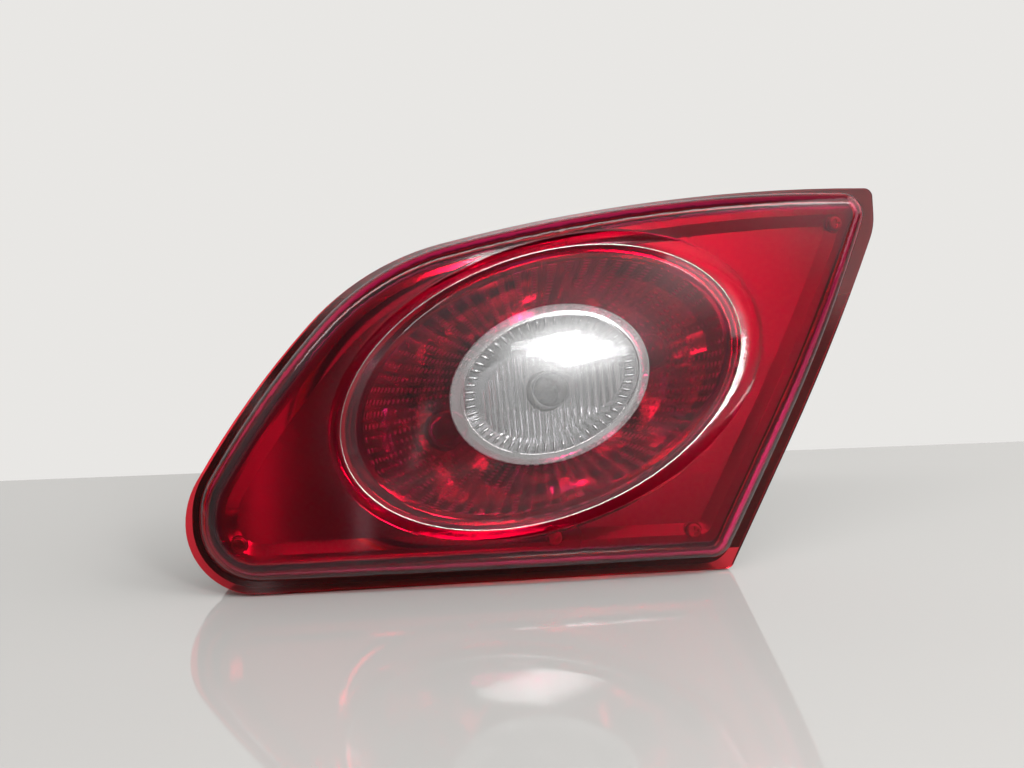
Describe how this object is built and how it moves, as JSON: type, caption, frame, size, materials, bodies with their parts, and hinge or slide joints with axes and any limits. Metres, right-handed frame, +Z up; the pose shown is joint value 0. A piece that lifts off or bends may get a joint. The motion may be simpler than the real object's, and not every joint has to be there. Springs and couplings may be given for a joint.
{
  "type": "tail light cluster",
  "caption": "Red boot-lid rear lamp with an oval dome, clear reversing window, metallised and fluted reflectors, bulb carrier and rear mounting studs.",
  "frame": {"origin": "middle of the bounding box footprint, on the table the lamp stands on", "axes": "+X to the right along the lower edge, -Y out of the lens towards the viewer, +Z up; the lamp leans back on its lower stud as it stands"},
  "size_m": [0.2806, 0.1086, 0.1508],
  "materials": {
    "red_lens": "clear red moulding, gloss",
    "clear_window": "clear moulding with a raised rim",
    "metallised": "bright metallised plastic",
    "black_housing": "moulded, satin",
    "carrier_plastic": "moulded, satin",
    "sealant": "cured bead",
    "foam": "closed-cell foam",
    "bulb_glass": "clear",
    "filament": "drawn wire",
    "rail_metal": "stamped strip",
    "steel": "plated"
  },
  "bodies": {
    "root": {"outer_lens": "red_lens", "reverse_window": "clear_window", "reflector": "metallised", "reverse_reflector": "metallised", "housing": "black_housing", "lens_sealant": "sealant", "body_gasket": "foam", "carrier_seal": "sealant", "bulb_carrier": "carrier_plastic", "reverse_bulb": "bulb_glass", "reverse_filament": "filament", "tail_bulb_left": "bulb_glass", "tail_filament_left": "filament", "tail_bulb_right": "bulb_glass", "tail_filament_right": "filament", "mounting_studs": "steel", "reflector_screws": "steel", "tunnel_screws": "steel", "ground_rail": "rail_metal", "tail_rail": "rail_metal", "reverse_rail": "rail_metal"}
  },
  "joints": []
}
